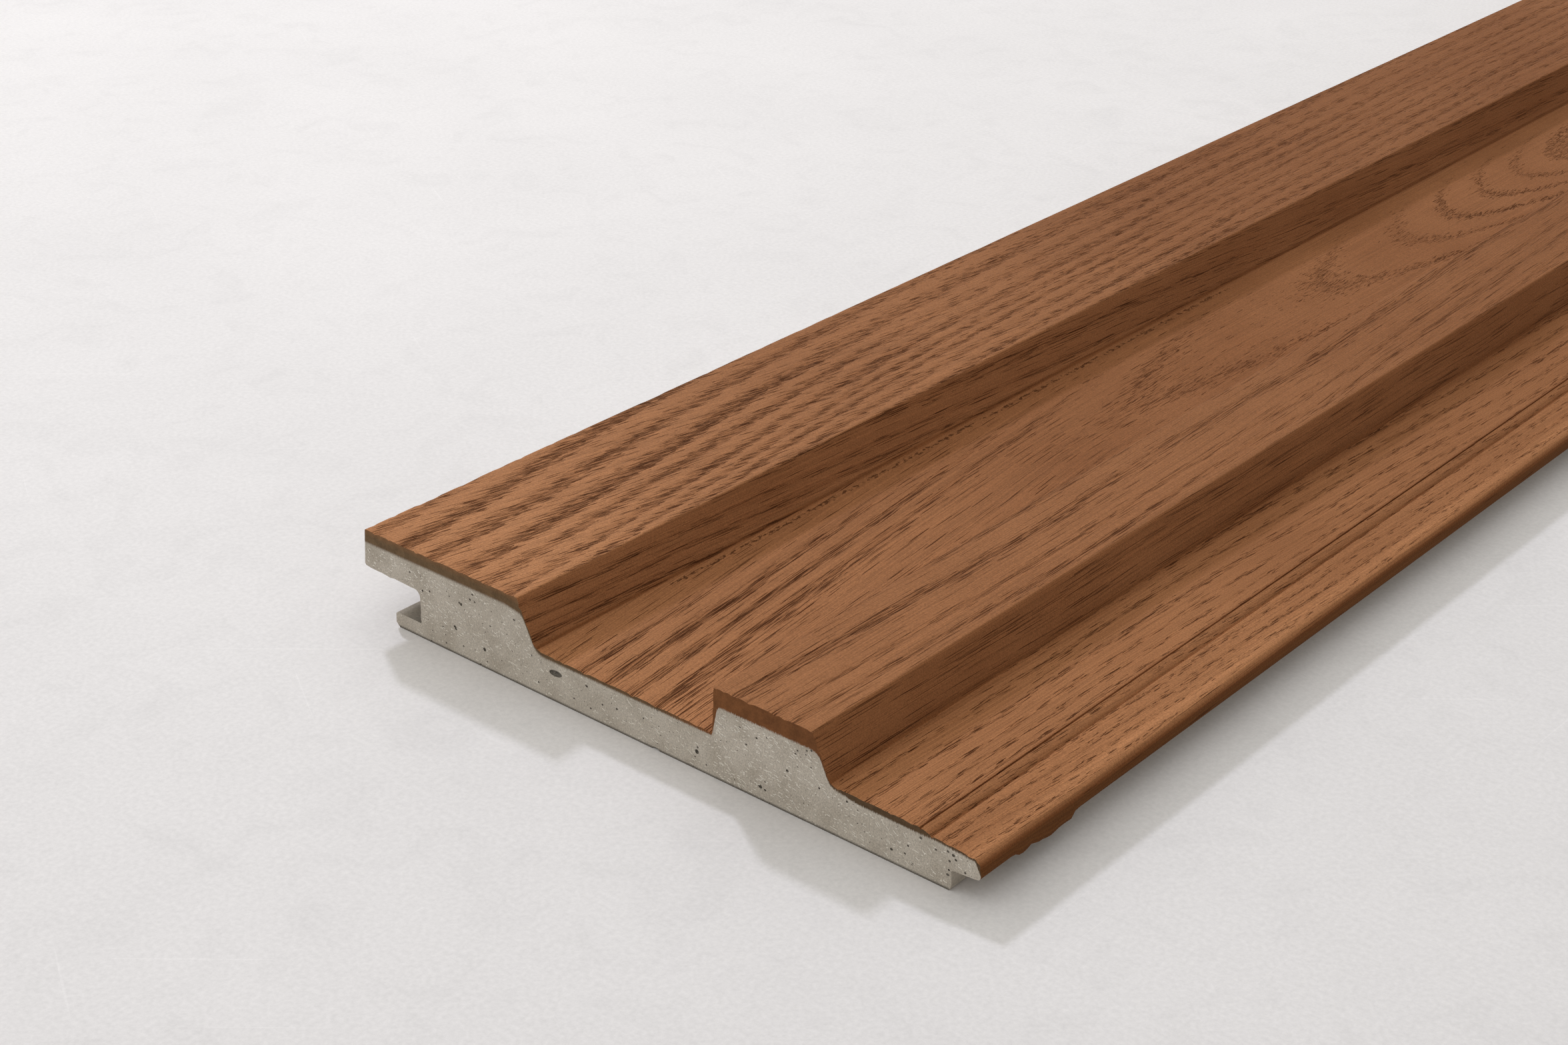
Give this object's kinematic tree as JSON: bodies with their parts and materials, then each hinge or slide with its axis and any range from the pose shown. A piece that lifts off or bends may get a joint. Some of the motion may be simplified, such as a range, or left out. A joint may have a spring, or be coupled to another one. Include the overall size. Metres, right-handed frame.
{
  "type": "cladding board",
  "caption": "Cladding board with raised battens and a moulded brown wood-grain face on a grey mineral core; its grooved edge takes the nose of the next board.",
  "frame": {"origin": "middle of the flat back, half way along the board and half way across its full width", "axes": "+X across the board from the grooved edge to the nose, +Y along the board, +Z out of the face"},
  "size_m": [0.2, 3.6, 0.025],
  "materials": {
    "core": "pale warm grey mineral-filled resin foam, sawn at the ends, with fine pores and pale fibre flecks",
    "skin": "matt brown elastomer, moulded with open wood grain and darker in the pores"
  },
  "bodies": {
    "root": {"core": "core", "face_skin": "skin"}
  },
  "joints": []
}
